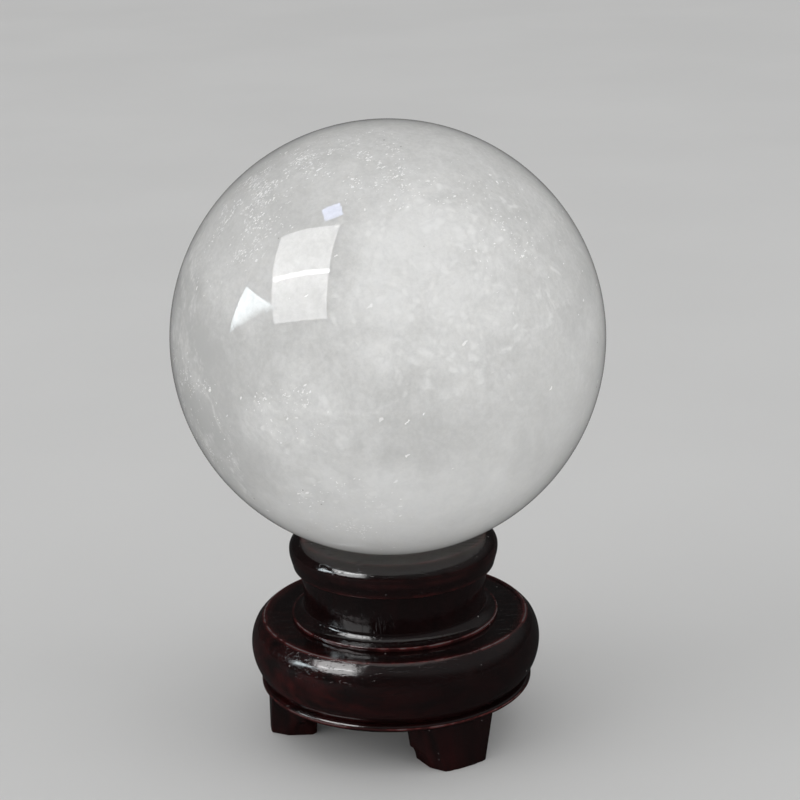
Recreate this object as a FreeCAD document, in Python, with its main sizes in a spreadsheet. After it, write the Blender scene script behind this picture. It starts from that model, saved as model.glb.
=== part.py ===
"""Crystal ball on a turned wooden stand, as a parametric FreeCAD document.

A loose ball of polished milky quartz sits in the dished cup of a lacquered hardwood stand. The stand
is a stack of turned pieces on one axis: cup collar, neck, base drum and foot plate, glued on round
spigots and drawn together by one wood screw from below. Three bracket feet, 120 degrees apart, are
pegged through the foot plate with dowels.

Millimetres, +Z up. The origin is on the axis, in the plane of the feet.
"""

import FreeCAD, Part
import Sketcher

import math
import os

from FreeCAD import Placement, Rotation, Vector

SIZES = {
    # the ball
    "ball_radius": 55.0,
    "ball_centre_z": 105.9,
    "seat_gap": 0.2,
    # heights of the stacked pieces
    "foot_height": 13.0,
    "plate_thickness": 1.8,
    "drum_height": 16.8,
    "neck_height": 14.0,
    "cup_height": 8.3,
    # cup collar
    "cup_ledge_radius": 26.2,
    "cup_side_radius": 27.2,
    "cup_side_low": 3.8,
    "cup_side_high": 5.4,
    "cup_shoulder_round": 4.2,
    "cup_edge_radius": 23.8,
    "seat_outer_radius": 16.8,
    "seat_inner_radius": 12.0,
    "relief_radius": 11.2,
    "relief_height": 6.0,
    "relief_depth_height": 4.6,
    # spigots and bores that join the turned pieces
    "spigot_radius": 12.0,
    "glue_line": 0.05,
    "cup_socket_depth": 3.0,
    "neck_top_spigot": 2.8,
    "neck_low_spigot": 8.0,
    "drum_socket_depth": 8.3,
    # neck
    "neck_flange_radius": 27.0,
    "neck_flange_thickness": 1.1,
    "neck_waist_radius": 23.6,
    "neck_waist_height": 3.0,
    "neck_cove_round": 3.6,
    "neck_top_radius": 24.7,
    "neck_side_round": 90.0,
    # base drum
    "drum_foot_radius": 34.0,
    "drum_belly_radius": 37.9,
    "drum_belly_height": 9.6,
    "drum_shoulder_radius": 36.6,
    "drum_shoulder_height": 14.6,
    "drum_rim_radius": 34.4,
    "drum_rim_width": 1.0,
    "drum_dish_depth": 0.4,
    "drum_low_round": 13.8,
    "drum_high_round": 10.3,
    "drum_bevel_round": 9.0,
    # foot plate
    "plate_radius": 35.6,
    "plate_edge_round": 0.8,
    # feet, measured in each foot's own frame, X pointing outwards
    "foot_angle": -59.3,
    "foot_spacing": 120.0,
    "foot_outer_radius": 34.0,
    "toe_half_width_low": 6.0,
    "toe_half_width_top": 8.9,
    "wing_tip_x": 24.5,
    "wing_half_width_low": 10.6,
    "wing_half_width_top": 12.4,
    "foot_back_x": 21.5,
    "foot_back_half_width": 7.0,
    "scroll_start": 8.3,
    "scroll_round": 6.0,
    # dowels and screw
    "dowel_radius": 2.0,
    "dowel_length": 14.0,
    "dowel_circle": 28.0,
    "dowel_in_foot": 7.0,
    "screw_radius": 2.0,
    "screw_head_radius": 3.6,
    "screw_head_height": 1.6,
    "screw_length": 30.0,
    "screw_point": 5.0,
    "screw_tip_radius": 0.4,
    "screw_end_clearance": 0.4,
    "recess_length": 3.6,
    "recess_width": 0.9,
    "recess_depth": 1.3,
}

doc = FreeCAD.newDocument("crystal_ball")


class Size:
    """A length kept twice: as a number, and as the text that binds a property to the sheet."""

    def __init__(self, number, text):
        self.number = number
        self.text = text

    def __add__(self, other):
        return Size(self.number + other.number, f"({self.text} + {other.text})")

    def __sub__(self, other):
        return Size(self.number - other.number, f"({self.text} - {other.text})")

    def __neg__(self):
        return Size(-self.number, f"(-{self.text})")

    def leg(self, side):
        """The other side of a right triangle with this length as its longest side."""
        number = math.sqrt(self.number**2 - side.number**2)
        return Size(number, f"sqrt({self.text} ^ 2 - {side.text} ^ 2)")


def make_sheet():
    """Write every driving dimension to a cell of its own, with its name as the alias."""
    sheet = doc.addObject("Spreadsheet::Sheet", "Sizes")
    for row, (name, number) in enumerate(SIZES.items(), start=1):
        sheet.set(f"A{row}", name)
        sheet.set(f"B{row}", str(number))
        sheet.setAlias(f"B{row}", name)
    doc.recompute()


def size(name):
    return Size(SIZES[name], f"Sizes.{name}")


ZERO = Size(0.0, "0")


def origin_plane(body, role):
    return next(plane for plane in body.Origin.OriginFeatures if plane.Role == role)


def new_body(label):
    body = doc.addObject("PartDesign::Body", label)
    body.Label = label
    return body


def new_sketch(body, name, role, lift=None):
    """A sketch on one of the body's own origin planes, lifted off it by a bound distance."""
    sketch = body.newObject("Sketcher::SketchObject", f"{body.Name}_{name}")
    sketch.AttachmentSupport = (origin_plane(body, role), [""])
    sketch.MapMode = "FlatFace"
    if lift is not None:
        sketch.setExpression("AttachmentOffset.Base.z", lift.text)
    return sketch


def bind(sketch, constraint, length):
    """Add a constraint and tie its value to the sheet."""
    index = sketch.addConstraint(constraint)
    sketch.setExpression(f"Constraints[{index}]", length.text)


def pin_point(sketch, geometry, end, place):
    """Hold one end of a line or arc at a place whose two lengths are bound to the sheet."""
    for kind, axis, length in (("DistanceX", -2, place[0]), ("DistanceY", -1, place[1])):
        if length is ZERO:
            sketch.addConstraint(Sketcher.Constraint("PointOnObject", geometry, end, axis))
        else:
            bind(sketch, Sketcher.Constraint(kind, -1, 1, geometry, end, length.number), length)


def arc_between(start, end, radius, bulge):
    """The shorter arc from start to end, bulging to the left (+1) or the right (-1) of the way.

    Returns the arc, drawn anticlockwise, and whether its first point is start.
    """
    chord = end - start
    left = Vector(-chord.y, chord.x, 0).normalize()
    height = math.sqrt(radius**2 - (chord.Length / 2) ** 2)
    centre = (start + end) / 2 - left * (height * bulge)
    from_start = bulge < 0
    first, last = (start, end) if from_start else (end, start)
    angles = [math.atan2(point.y - centre.y, point.x - centre.x) for point in (first, last)]
    if angles[1] < angles[0]:
        angles[1] += 2 * math.pi
    circle = Part.Circle(centre, Vector(0, 0, 1), radius)
    return Part.ArcOfCircle(circle, *angles), from_start


def draw_outline(sketch, corners):
    """A closed outline through the corners. Each corner is (x, y) or (x, y, radius, bulge), where the
    last two turn the side that leaves the corner into an arc."""
    points = [Vector(corner[0].number, corner[1].number, 0) for corner in corners]
    ends = []
    for index, corner in enumerate(corners):
        start, end = points[index], points[(index + 1) % len(points)]
        if len(corner) == 2:
            geometry = sketch.addGeometry(Part.LineSegment(start, end), False)
            ends.append((geometry, 1, 2))
            continue
        arc, from_start = arc_between(start, end, corner[2].number, corner[3])
        geometry = sketch.addGeometry(arc, False)
        ends.append((geometry, 1, 2) if from_start else (geometry, 2, 1))
        bind(sketch, Sketcher.Constraint("Radius", geometry, corner[2].number), corner[2])
    for index, (geometry, _, last) in enumerate(ends):
        following, first, _ = ends[(index + 1) % len(ends)]
        sketch.addConstraint(Sketcher.Constraint("Coincident", geometry, last, following, first))
    for corner, (geometry, first, _) in zip(corners, ends):
        pin_point(sketch, geometry, first, corner)


def draw_circle(sketch, x, y, radius):
    geometry = sketch.addGeometry(
        Part.Circle(Vector(x.number, y.number, 0), Vector(0, 0, 1), radius.number), False
    )
    bind(sketch, Sketcher.Constraint("Radius", geometry, radius.number), radius)
    pin_point(sketch, geometry, 3, (x, y))


def turned(label, corners):
    """A piece turned on the lathe: an outline in radius and height, spun round the Z axis."""
    body = new_body(label)
    sketch = new_sketch(body, "outline", "XZ_Plane")
    draw_outline(sketch, corners)
    spin = body.newObject("PartDesign::Revolution", f"{label}_turning")
    spin.Profile = sketch
    spin.ReferenceAxis = (sketch, ["V_Axis"])
    spin.Angle = 360.0
    return body


def cut(body, name, sketch, length, upwards):
    """A pocket that must take wood away, whichever way the sketch faces."""
    doc.recompute()
    before = body.Shape.Volume
    pocket = body.newObject("PartDesign::Pocket", f"{body.Name}_{name}")
    pocket.Profile = sketch
    pocket.setExpression("Length", length.text)
    pocket.Reversed = upwards
    doc.recompute()
    if not body.Shape.Volume < before - 1e-3:
        raise RuntimeError(f"{name} of {body.Label} removes nothing")
    return pocket


def three_dowel_holes(body, length, upwards, lift=None):
    """One dowel hole under each foot: a hole on the body's X axis, repeated round the axis."""
    sketch = new_sketch(body, "dowel_hole_outline", "XY_Plane", lift)
    draw_circle(sketch, size("dowel_circle"), ZERO, size("dowel_radius") + size("glue_line"))
    hole = cut(body, "dowel_hole", sketch, length, upwards)
    pattern = body.newObject("PartDesign::PolarPattern", f"{body.Name}_dowel_holes")
    pattern.Originals = [hole]
    axis = next(line for line in body.Origin.OriginFeatures if line.Role == "Z_Axis")
    pattern.Axis = (axis, [""])
    pattern.Angle = 360.0
    pattern.Occurrences = 3
    body.Tip = pattern


def stand(body, height, angle=None):
    """Lift a piece to its height above the feet, and turn it about the axis to face a foot."""
    body.setExpression("Placement.Base.z", height.text)
    if angle is not None:
        body.Placement = Placement(Vector(0, 0, height.number), Rotation(Vector(0, 0, 1), angle.number))
        body.setExpression("Placement.Rotation.Angle", f"{angle.text} * 1 deg")


def make_ball():
    """The loose quartz ball."""
    ball = doc.addObject("Part::Sphere", "crystal_ball")
    ball.Label = "crystal_ball"
    ball.setExpression("Radius", size("ball_radius").text)
    stand(ball, size("ball_centre_z"))


def make_cup(height):
    """The collar that holds the ball: a bevelled rim, a seat that follows the ball, a relieved middle
    that the ball never touches, and a socket below for the neck."""
    socket = size("spigot_radius") + size("glue_line")
    seat_round = size("ball_radius") + size("seat_gap")
    ball_centre = size("ball_centre_z") - height
    seat_outer = size("seat_outer_radius")
    seat_inner = size("seat_inner_radius")
    corners = [
        (socket, ZERO),
        (size("cup_ledge_radius"), ZERO),
        (size("cup_side_radius"), size("cup_side_low")),
        (size("cup_side_radius"), size("cup_side_high"), size("cup_shoulder_round"), -1),
        (size("cup_edge_radius"), size("cup_height")),
        (seat_outer, ball_centre - seat_round.leg(seat_outer), seat_round, 1),
        (seat_inner, ball_centre - seat_round.leg(seat_inner)),
        (size("relief_radius"), size("relief_height")),
        (ZERO, size("relief_depth_height")),
        (ZERO, size("cup_socket_depth")),
        (socket, size("cup_socket_depth")),
    ]
    stand(turned("cup_collar", corners), height)


def make_neck(height):
    """The waisted neck, with a spigot at each end and a flange that covers the joint on the drum."""
    spigot = size("spigot_radius")
    pilot = size("screw_radius") + size("glue_line")
    spigot_end = -size("neck_low_spigot")
    top = size("neck_height")
    screw_top = size("foot_height") + size("screw_length") + size("screw_end_clearance") - height
    corners = [
        (pilot, spigot_end),
        (spigot, spigot_end),
        (spigot, ZERO),
        (size("neck_flange_radius"), ZERO),
        (
            size("neck_flange_radius"),
            size("neck_flange_thickness"),
            size("neck_cove_round"),
            1,
        ),
        (size("neck_waist_radius"), size("neck_waist_height"), size("neck_side_round"), 1),
        (size("neck_top_radius"), top),
        (spigot, top),
        (spigot, top + size("neck_top_spigot")),
        (ZERO, top + size("neck_top_spigot")),
        (ZERO, screw_top),
        (pilot, screw_top),
    ]
    stand(turned("neck", corners), height)


def make_drum(height, angle):
    """The broad drum: bellied side, rounded shoulder, fine raised rim and a shallow dished top."""
    socket = size("spigot_radius") + size("glue_line")
    screw_hole = size("screw_radius") + size("glue_line")
    rim_top = size("drum_height")
    dish = rim_top - size("drum_dish_depth")
    floor = dish - size("drum_socket_depth")
    rim_inside = size("drum_rim_radius") - size("drum_rim_width")
    corners = [
        (screw_hole, ZERO),
        (size("drum_foot_radius"), ZERO, size("drum_low_round"), -1),
        (size("drum_belly_radius"), size("drum_belly_height"), size("drum_high_round"), -1),
        (size("drum_shoulder_radius"), size("drum_shoulder_height"), size("drum_bevel_round"), -1),
        (size("drum_rim_radius"), rim_top),
        (rim_inside, rim_top),
        (rim_inside, dish),
        (socket, dish),
        (socket, floor),
        (screw_hole, floor),
    ]
    drum = turned("base_drum", corners)
    peg_length = size("dowel_length") - size("dowel_in_foot") - size("plate_thickness")
    three_dowel_holes(drum, peg_length + size("glue_line"), upwards=True)
    stand(drum, height, angle)


def make_plate(height, angle):
    """The thin disc between drum and feet, standing proud as a rounded lip, countersunk below."""
    screw_hole = size("screw_radius") + size("glue_line")
    head = size("screw_head_radius") + size("glue_line")
    radius = size("plate_radius")
    edge = size("plate_edge_round")
    top = size("plate_thickness")
    corners = [
        (head, ZERO),
        (radius - edge, ZERO, edge, -1),
        (radius, edge),
        (radius, top - edge, edge, -1),
        (radius - edge, top),
        (screw_hole, top),
        (screw_hole, size("screw_head_height")),
    ]
    plate = turned("foot_plate", corners)
    three_dowel_holes(plate, top, upwards=True)
    stand(plate, height, angle)


def foot_plan(half_width, wing_half_width):
    """One level of a foot: a toe on the outer circle and two wings that spread inwards."""
    back = size("foot_back_half_width")
    corner = size("foot_outer_radius").leg(half_width)
    return [
        (corner, -half_width, size("foot_outer_radius"), -1),
        (corner, half_width),
        (size("wing_tip_x"), wing_half_width),
        (size("foot_back_x"), back),
        (size("foot_back_x"), -back),
        (size("wing_tip_x"), -wing_half_width),
    ]


def make_foot(label, angle):
    """A bracket foot: lofted from its narrow toe up to the plate, with a scroll cut into each wing
    and a blind hole for its dowel."""
    foot = new_body(label)
    low = new_sketch(foot, "toe_plan", "XY_Plane")
    draw_outline(low, foot_plan(size("toe_half_width_low"), size("wing_half_width_low")))
    top = new_sketch(foot, "top_plan", "XY_Plane", size("foot_height"))
    draw_outline(top, foot_plan(size("toe_half_width_top"), size("wing_half_width_top")))
    block = foot.newObject("PartDesign::AdditiveLoft", f"{label}_block")
    block.Profile = low
    block.Sections = [top]
    block.Ruled = True
    scrolls = new_sketch(foot, "scroll_outline", "YZ_Plane")
    centre = size("scroll_start") + size("scroll_round")
    for side in (centre, -centre):
        draw_circle(scrolls, side, ZERO, size("scroll_round"))
    cut(foot, "scrolls", scrolls, size("foot_outer_radius"), upwards=True)
    hole = new_sketch(foot, "dowel_hole_outline", "XY_Plane", size("foot_height"))
    draw_circle(hole, size("dowel_circle"), ZERO, size("dowel_radius") + size("glue_line"))
    cut(foot, "dowel_hole", hole, size("dowel_in_foot") + size("glue_line"), upwards=False)
    stand(foot, ZERO, angle)


def make_dowel(label, angle):
    """The peg that joins a foot, the plate and the drum, turned about the axis to its foot."""
    body = new_body(label)
    sketch = new_sketch(body, "section", "XY_Plane", size("foot_height") - size("dowel_in_foot"))
    draw_circle(sketch, size("dowel_circle"), ZERO, size("dowel_radius"))
    peg = body.newObject("PartDesign::Pad", f"{label}_peg")
    peg.Profile = sketch
    peg.setExpression("Length", size("dowel_length").text)
    stand(body, ZERO, angle)


def make_screw(height):
    """The countersunk wood screw that draws plate, drum and neck together, with a cross recess."""
    shank = size("screw_radius")
    length = size("screw_length")
    corners = [
        (ZERO, ZERO),
        (size("screw_head_radius"), ZERO),
        (shank, size("screw_head_height")),
        (shank, length - size("screw_point")),
        (size("screw_tip_radius"), length),
        (ZERO, length),
    ]
    screw = turned("stem_screw", corners)
    half_length = Size(SIZES["recess_length"] / 2, "(Sizes.recess_length / 2)")
    half_width = Size(SIZES["recess_width"] / 2, "(Sizes.recess_width / 2)")
    for name, across, along in (("slot", half_length, half_width), ("cross_slot", half_width, half_length)):
        sketch = new_sketch(screw, f"{name}_outline", "XY_Plane")
        draw_outline(sketch, [(-across, -along), (across, -along), (across, along), (-across, along)])
        cut(screw, name, sketch, size("recess_depth"), upwards=True)
    stand(screw, height)


def check_document():
    """Stop if any object failed to compute or any piece is not a valid solid."""
    for item in doc.Objects:
        if {"Invalid", "Error"} & set(item.State):
            raise RuntimeError(f"{item.Name} is {item.State}")
    for piece in pieces():
        if piece.Shape.isNull() or not piece.Shape.isValid() or len(piece.Shape.Solids) != 1:
            raise RuntimeError(f"{piece.Label} has no valid solid")


def pieces():
    return [item for item in doc.Objects if item.TypeId in ("PartDesign::Body", "Part::Sphere")]


def main():
    make_sheet()
    plate_base = size("foot_height")
    drum_base = plate_base + size("plate_thickness")
    drum_top = drum_base + size("drum_height")
    neck_base = drum_top - size("drum_dish_depth")
    neck_top = neck_base + size("neck_height")
    first_angle = size("foot_angle")
    spacing = size("foot_spacing")
    make_ball()
    make_cup(neck_top)
    make_neck(neck_base)
    make_drum(drum_base, first_angle)
    make_plate(plate_base, first_angle)
    angle = first_angle
    for place in ("front", "rear", "left"):
        make_foot(f"foot_{place}", angle)
        make_dowel(f"dowel_{place}", angle)
        angle = angle + spacing
    make_screw(plate_base)
    doc.recompute()
    check_document()
    os.makedirs("parts", exist_ok=True)
    for piece in pieces():
        piece.Shape.exportStep(f"parts/{piece.Label}.step")
        box = piece.Shape.optimalBoundingBox()
        print(f"{piece.Label:14s} {box.XLength:7.2f} {box.YLength:7.2f} {box.ZLength:7.2f} "
              f"from z {box.ZMin:7.2f} volume {piece.Shape.Volume:10.1f}")


main()
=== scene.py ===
"""A milky quartz ball, loose in the cup of a turned and lacquered hardwood stand.

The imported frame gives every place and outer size. The classes here hold the turner's, carver's and
polisher's own sizes, in metres, and make the finer shape and the finish of each piece.
"""

import enum
import logging
import math
from collections.abc import Callable, Iterable
from dataclasses import dataclass, field

import bmesh
import bpy
from mathutils import Matrix, Vector, noise


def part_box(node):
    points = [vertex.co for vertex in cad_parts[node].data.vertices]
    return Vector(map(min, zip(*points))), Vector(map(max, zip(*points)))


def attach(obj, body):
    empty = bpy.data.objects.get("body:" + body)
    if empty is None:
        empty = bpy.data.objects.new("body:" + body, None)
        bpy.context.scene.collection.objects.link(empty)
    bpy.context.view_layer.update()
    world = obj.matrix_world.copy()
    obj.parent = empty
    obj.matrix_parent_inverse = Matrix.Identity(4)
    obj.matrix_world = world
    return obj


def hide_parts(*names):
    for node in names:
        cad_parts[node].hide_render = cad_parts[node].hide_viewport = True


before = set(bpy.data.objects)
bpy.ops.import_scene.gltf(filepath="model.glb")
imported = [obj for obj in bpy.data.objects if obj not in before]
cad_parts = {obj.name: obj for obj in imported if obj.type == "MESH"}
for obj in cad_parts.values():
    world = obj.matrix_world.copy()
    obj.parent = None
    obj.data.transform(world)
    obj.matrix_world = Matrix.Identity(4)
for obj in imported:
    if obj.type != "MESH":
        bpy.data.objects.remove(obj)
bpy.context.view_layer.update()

log = logging.getLogger("crystal_ball")

Colour = tuple[float, float, float, float]
Socket = bpy.types.NodeSocket
Input = Socket | float | tuple[float, ...] | Vector
Inputs = dict[str | int, Input]
Mesh = bmesh.types.BMesh
Ring = list[bmesh.types.BMVert]
Piece = bpy.types.Object

STAND = "stand"
BALL = "ball"
WEAR_AND_HIGHLIGHT = "wear_and_highlight"
SKY = "sky"
SHARP_ANGLE = 40.0
DOWEL_CIRCLE = 0.028
DOWEL_HOLE_RADIUS = 0.00205
SCREW_HOLE_RADIUS = 0.00205
WINDOW_FACES = (-31.8, 42.4)
WINDOW_TURN = 11.8


class Slot(enum.Enum):
    """The record's finishes that the pieces made here stand for."""

    QUARTZ = "quartz"
    LACQUERED_WOOD = "lacquered_wood"


class Grain(enum.Enum):
    """Which way the grain runs in a piece: the stretch of the wood's figure along X, Y and Z."""

    ACROSS = (0.10, 1.0, 1.0)
    UPRIGHT = (1.0, 1.0, 0.12)


def smoothstep(value: float, start: float, end: float) -> float:
    """Return 0 before start, 1 after end, and an even S between them."""
    share = min(max((value - start) / (end - start), 0.0), 1.0)
    return share * share * (3.0 - 2.0 * share)


def direction(azimuth: float, height: float) -> Vector:
    """Return the unit vector at an azimuth from the front (-Y) towards +X and a height, in degrees.

    Args:
        azimuth: Degrees round the vertical axis, 0 at the front and 90 at +X.
        height: Degrees above the horizon.

    Returns:
        The unit vector that points that way.
    """
    turn = math.radians(azimuth)
    rise = math.radians(height)
    return Vector((math.sin(turn) * math.cos(rise), -math.cos(turn) * math.cos(rise), math.sin(rise)))


# ---------------------------------------------------------------- finishes


class NodeBench:
    """Adds nodes to one material, or to the room's world, and wires them together."""

    def __init__(self, owner: bpy.types.Material | bpy.types.World) -> None:
        """Start with an empty tree.

        Args:
            owner: The material or world whose nodes are replaced.
        """
        owner.use_nodes = True
        self.owner = owner
        self.tree = owner.node_tree
        self.tree.nodes.clear()

    def add(self, kind: str, inputs: Inputs | None = None, **settings: object) -> bpy.types.Node:
        """Add one node.

        Args:
            kind: The node's type name.
            inputs: A socket to link or a value to set, by input name or number.
            **settings: Properties of the node itself.

        Returns:
            The new node.
        """
        node = self.tree.nodes.new(kind)
        for name, value in settings.items():
            setattr(node, name, value)
        for key, value in (inputs or {}).items():
            if isinstance(value, Socket):
                self.tree.links.new(value, node.inputs[key])
            else:
                node.inputs[key].default_value = value
        return node

    def maths(self, operation: str, *values: Input) -> Socket:
        """Return the result of a Math node."""
        return self.add("ShaderNodeMath", dict(enumerate(values)), operation=operation).outputs[0]

    def vector(self, operation: str, *values: Input) -> Socket:
        """Return the vector that a Vector Math node makes."""
        return self.add("ShaderNodeVectorMath", dict(enumerate(values)), operation=operation).outputs[0]

    def dot(self, first: Input, second: Input) -> Socket:
        """Return the dot product of two vectors."""
        node = self.add("ShaderNodeVectorMath", {0: first, 1: second}, operation="DOT_PRODUCT")
        return node.outputs["Value"]

    def scaled(self, vector: Input, scale: Input) -> Socket:
        """Return a vector times a number."""
        return self.add("ShaderNodeVectorMath", {0: vector, "Scale": scale}, operation="SCALE").outputs[0]

    def stretched(self, vector: Input, stretch: tuple[float, float, float], turn: float = 0.0) -> Socket:
        """Return a vector stretched along each axis, after a turn of some degrees about Z."""
        inputs = {"Vector": vector, "Scale": stretch, "Rotation": (0.0, 0.0, math.radians(turn))}
        return self.add("ShaderNodeMapping", inputs).outputs[0]

    def drawn_out(self, vector: Input, towards: Vector, length: float) -> Socket:
        """Return a vector that makes a pattern some times longer in one direction."""
        along = self.maths("MULTIPLY", self.dot(vector, towards), 1.0 / length - 1.0)
        return self.vector("ADD", vector, self.scaled(towards, along))

    def fade(self, value: Input, start: float, end: float, low: float = 0.0, high: float = 1.0) -> Socket:
        """Return low before start, high after end, and an even S between them."""
        inputs = {0: value, 1: start, 2: end, 3: low, 4: high}
        return self.add("ShaderNodeMapRange", inputs, interpolation_type="SMOOTHSTEP").outputs[0]

    def mix(self, amount: Input, first: Input, second: Input) -> Socket:
        """Return a colour between two colours."""
        return self.add("ShaderNodeMix", {0: amount, 6: first, 7: second}, data_type="RGBA").outputs[2]

    def noise(self, vector: Input, scale: float, detail: float = 3.0, roughness: float = 0.5,
              kind: str = "FBM") -> bpy.types.Node:
        """Return a noise node, whose outputs are a factor and a colour."""
        inputs = {"Vector": vector, "Scale": scale, "Detail": detail, "Roughness": roughness}
        return self.add("ShaderNodeTexNoise", inputs, noise_type=kind)

    def specks(self, vector: Input, scale: float, size: float, share: Input,
               core: float = 0.6) -> Socket:
        """Return the brightness of scattered specks, from 0.5 to 1 inside each and 0 elsewhere.

        Args:
            vector: Where on the piece.
            scale: Cells to a unit length, each with one possible speck.
            size: The speck's radius, as a share of a cell.
            share: How many of the cells have a speck, from 0 to 1.
            core: The part of the radius that is fully bright: near 1 is crisp and 0 is soft.

        Returns:
            The mask.
        """
        cells = self.add("ShaderNodeTexVoronoi", {"Vector": vector, "Scale": scale})
        chance = self.add("ShaderNodeSeparateColor", {0: cells.outputs["Color"]})
        spot = self.fade(cells.outputs["Distance"], size, size * core)
        chosen = self.maths("GREATER_THAN", share, chance.outputs[0])
        level = self.fade(chance.outputs[1], 0.0, 1.0, 0.5, 1.0)
        return self.maths("MULTIPLY", self.maths("MULTIPLY", spot, chosen), level)

    def total(self, values: Iterable[Socket]) -> Socket:
        """Return the sum of several values.

        Args:
            values: The values, at least one.

        Returns:
            Their sum.
        """
        values = list(values)
        result = values[0]
        for value in values[1:]:
            result = self.maths("ADD", result, value)
        return result

    def finish(self, inputs: Inputs) -> bpy.types.Material:
        """Close the material with one Principled shader.

        Args:
            inputs: The shader's inputs.

        Returns:
            The finished material.
        """
        shader = self.add("ShaderNodeBsdfPrincipled", inputs)
        self.add("ShaderNodeOutputMaterial", {"Surface": shader.outputs[0]})
        return self.owner


@dataclass(frozen=True)
class Zone:
    """A round patch of the ball: the home of an inclusion, of a swarm of painted glints, or of painted
    light.
    """

    towards: tuple[float, float, float]
    reach: float
    strength: float = 1.0


@dataclass(frozen=True)
class Veil:
    """A healed crack: a flat sheet through the stone, seen as a thin line where it meets the surface."""

    normal: tuple[float, float, float]
    offset: float
    width: float
    strength: float


@dataclass(frozen=True)
class MilkyQuartz:
    """Polished quartz, milky all through, with cloudy patches, wisps and healed cracks, painted glints of
    light off small cracks, and painted light brightening its bottom.
    """

    centre: Vector
    radius: float
    clear_stone: Colour = (0.50, 0.503, 0.50, 1.0)
    cloudy_stone: Colour = (0.80, 0.803, 0.796, 1.0)
    painted_glint_colour: Colour = (1.0, 1.0, 1.0, 1.0)
    speck_colour: Colour = (0.12, 0.12, 0.11, 1.0)
    translucency: float = 0.100
    refraction: float = 1.54
    haze: float = 0.42
    drift: float = 0.42
    glint_length: float = 2.4
    stray_glints: tuple[float, float, float] = (25.0, 0.16, 0.08)
    dark_specks: tuple[float, float, float] = (13.0, 0.07, 0.10)
    slant: Vector = Vector((0.72, 0.20, 0.66)).normalized()
    glint_sizes: tuple[tuple[float, float, float], ...] = (
        (135.0, 0.44, 0.90),
        (78.0, 0.38, 0.62),
        (38.0, 0.27, 0.30),
    )
    clouds_and_painted_light: tuple[Zone, ...] = (
        Zone((0.30, -0.83, 0.47), 0.58, 0.20),
        Zone((0.19, -0.77, 0.61), 0.38, 0.07),
        Zone((-0.20, -0.95, 0.20), 0.40, 0.05),
        Zone((-0.32, -0.92, -0.12), 0.42, 0.12),
        Zone((-0.66, -0.74, 0.10), 0.36, -0.14),
        Zone((-0.70, -0.66, -0.22), 0.36, -0.10),
        Zone((-0.45, -0.50, 0.74), 0.50, -0.08),
        Zone((0.64, -0.55, 0.52), 0.42, -0.10),
        Zone((0.02, -0.96, 0.27), 0.36, -0.05),
        Zone((-0.97, -0.22, 0.10), 0.45, -0.24),
        # painted light: the lower front is made milkier and so brighter, standing in for light from below
        Zone((0.0, -0.60, -0.80), 0.80, 0.34),
    )
    puffs: tuple[Zone, ...] = (
        Zone((0.30, -0.83, 0.47), 0.62, 1.0),
        Zone((0.05, -0.93, 0.36), 0.35, 0.35),
        Zone((-0.38, -0.91, -0.05), 0.30, 0.8),
        Zone((-0.20, -0.80, -0.57), 0.35, 0.5),
    )
    glint_fields: tuple[Zone, ...] = (
        Zone((-0.62, -0.30, 0.72), 0.22, 0.9),
        Zone((-0.50, -0.28, 0.82), 0.24, 1.0),
        Zone((-0.34, -0.28, 0.90), 0.24, 0.8),
        Zone((-0.08, -0.36, 0.93), 0.26, 0.5),
        Zone((-0.56, -0.51, 0.66), 0.24, 0.6),
        Zone((-0.72, -0.45, 0.53), 0.24, 0.4),
        Zone((0.03, -0.55, 0.83), 0.28, 0.5),
        Zone((-0.44, -0.89, -0.06), 0.22, 0.5),
        Zone((-0.86, -0.46, -0.20), 0.36, 0.4),
        Zone((-0.20, -0.80, -0.57), 0.30, 0.3),
        Zone((0.50, -0.55, 0.67), 0.40, 0.25),
    )
    veils: tuple[Veil, ...] = (
        Veil((-0.94, 0.28, -0.22), 0.605, 0.020, 0.30),
        Veil((-0.92, 0.34, -0.20), 0.665, 0.030, 0.26),
        Veil((-0.93, 0.30, -0.21), 0.560, 0.010, 0.16),
        Veil((-0.90, 0.38, -0.22), 0.725, 0.016, 0.30),
        Veil((0.14, 0.47, -0.87), -0.461, 0.020, 0.14),
        Veil((0.90, 0.30, 0.32), 0.560, 0.022, 0.10),
        Veil((0.35, 0.90, 0.26), 0.500, 0.018, 0.11),
    )

    def material(self) -> bpy.types.Material:
        """Return the quartz, laid out in ball radii from the ball's centre.

        Returns:
            The finished material.
        """
        bench = NodeBench(bpy.data.materials.new("milky_quartz"))
        place = bench.add("ShaderNodeTexCoord").outputs["Object"]
        place = bench.vector("SUBTRACT", place, self.centre)
        place = bench.scaled(place, 1.0 / self.radius)
        drift = bench.noise(place, 2.3, 4.0, 0.6).outputs[1]
        drift = bench.vector("SUBTRACT", drift, (0.5, 0.5, 0.5))
        drifted = bench.vector("ADD", place, bench.scaled(drift, self.drift))
        milk = self._milk(bench, place, drifted)
        base = bench.mix(milk, self.clear_stone, self.cloudy_stone)
        # painted glints: white specks that stand in for light reflected off small inner cracks
        base = bench.mix(self._painted_glints(bench, place), base, self.painted_glint_colour)
        dark = bench.specks(place, *self.dark_specks)
        base = bench.mix(bench.maths("MULTIPLY", dark, 0.7), base, self.speck_colour)
        smear = bench.noise(place, 7.0, 3.0, 0.55).outputs[0]
        return bench.finish({
            "Base Color": base,
            "Roughness": bench.fade(smear, 0.3, 0.75, 0.006, 0.022),
            "IOR": self.refraction,
            "Subsurface Weight": 1.0,
            "Subsurface Radius": (1.0, 0.97, 0.92),
            "Subsurface Scale": self.translucency,
            "Normal": self._polish(bench, place),
        })

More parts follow.
